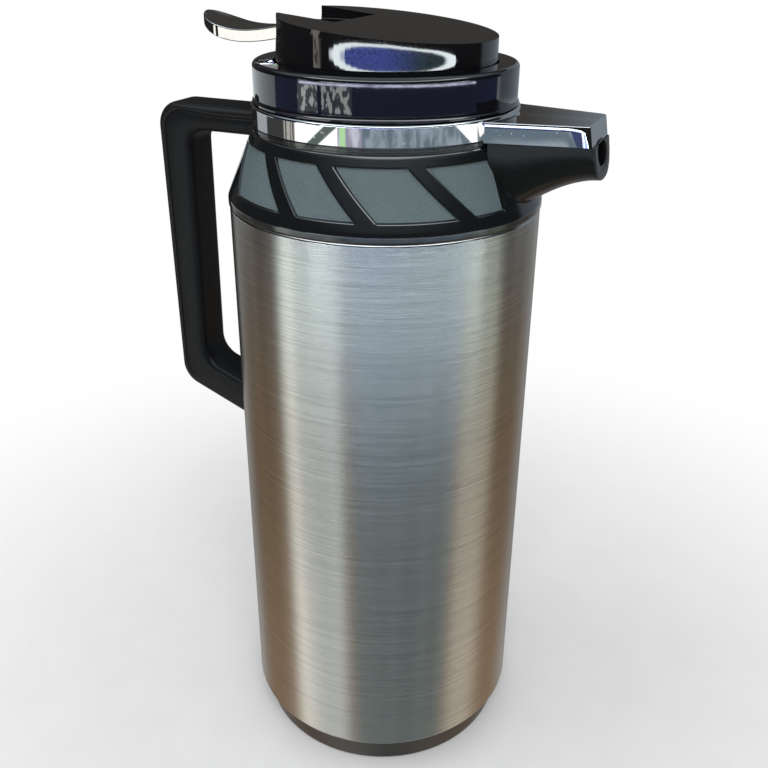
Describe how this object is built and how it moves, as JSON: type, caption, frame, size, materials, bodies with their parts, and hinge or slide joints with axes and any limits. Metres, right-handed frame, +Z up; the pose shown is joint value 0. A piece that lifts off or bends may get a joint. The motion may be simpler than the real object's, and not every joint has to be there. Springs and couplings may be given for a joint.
{
  "type": "thermal carafe",
  "caption": "Vacuum jug with a steel body, glass flask, sloping collar with spout, side handle, and a lift-out stopper opened by a thumb lever.",
  "frame": {"origin": "centre of the base's underside, on the table", "axes": "+Z up along the jug's axis, +X towards the spout, -X towards the handle"},
  "size_m": [0.1813, 0.12, 0.3105],
  "materials": {
    "base": "satin black",
    "base_ring": "satin dark grey",
    "cushion": "soft dark grey",
    "steel": "fine brushing round the body",
    "glass_outer": "silvered on the vacuum side",
    "glass_inner": "silvered on the vacuum side",
    "silicone": "translucent silicone",
    "well": "moulded black",
    "collar": "gloss black with textured panels",
    "spout": "gloss black",
    "chrome": "polished",
    "grip": "semi-gloss black",
    "strip": "satin black",
    "plate": "pressed steel",
    "screws": "stainless",
    "stopper": "moulded dark grey",
    "stem": "natural plastic",
    "valve_seal": "red silicone",
    "spring": "spring steel",
    "bracket": "dark grey",
    "pin": "ground steel",
    "lever": "polished, dished top",
    "ring": "high gloss black",
    "cap": "high gloss black"
  },
  "bodies": {
    "housing": {"base_cup": "base", "base_ring": "base_ring", "flask_cushion": "cushion", "steel_shell": "steel", "flask_outer": "glass_outer", "flask_inner": "glass_inner", "mouth_gasket": "silicone", "stopper_well": "well", "shoulder_collar": "collar", "pour_spout": "spout", "chrome_trim": "chrome", "handle_grip": "grip", "handle_cover": "strip", "handle_backplate": "plate", "handle_screws": "screws"},
    "stopper": {"stopper_body": "stopper", "stopper_gasket": "silicone", "neck_seal": "silicone", "stem_seal": "silicone", "valve_spring": "spring", "lever_bracket": "bracket", "bracket_screws": "screws", "lever_pin": "pin", "upper_cap": "cap"},
    "lock_ring": {"lock_ring": "ring"},
    "lever": {"thumb_lever": "lever"},
    "valve": {"valve_stem": "stem", "valve_seal": "valve_seal"}
  },
  "joints": [
    {"name": "stopper_lift", "type": "slide", "parent": "housing", "child": "stopper", "axis": [0, 0, 1], "range_m": [0, 0.065]},
    {"name": "lock_ring_turn", "type": "hinge", "parent": "stopper", "child": "lock_ring", "pos_m": [0, 0, 0.288], "axis": [0, 0, 1], "range_deg": [0, 90]},
    {"name": "lever_press", "type": "hinge", "parent": "stopper", "child": "lever", "pos_m": [-0.022, 0, 0.298], "axis": [0, -1, 0], "range_deg": [0, 7.5], "stiffness_Nm_per_rad": 0.39, "springref_deg": -12.95},
    {"name": "valve_lift", "type": "slide", "parent": "stopper", "child": "valve", "axis": [0, 0, 1], "range_m": [0, 0.003], "deforming": ["valve_spring"]}
  ],
  "couplings": [
    {"joint": "valve_lift", "follows": "lever_press", "m_per_rad": 0.022}
  ]
}
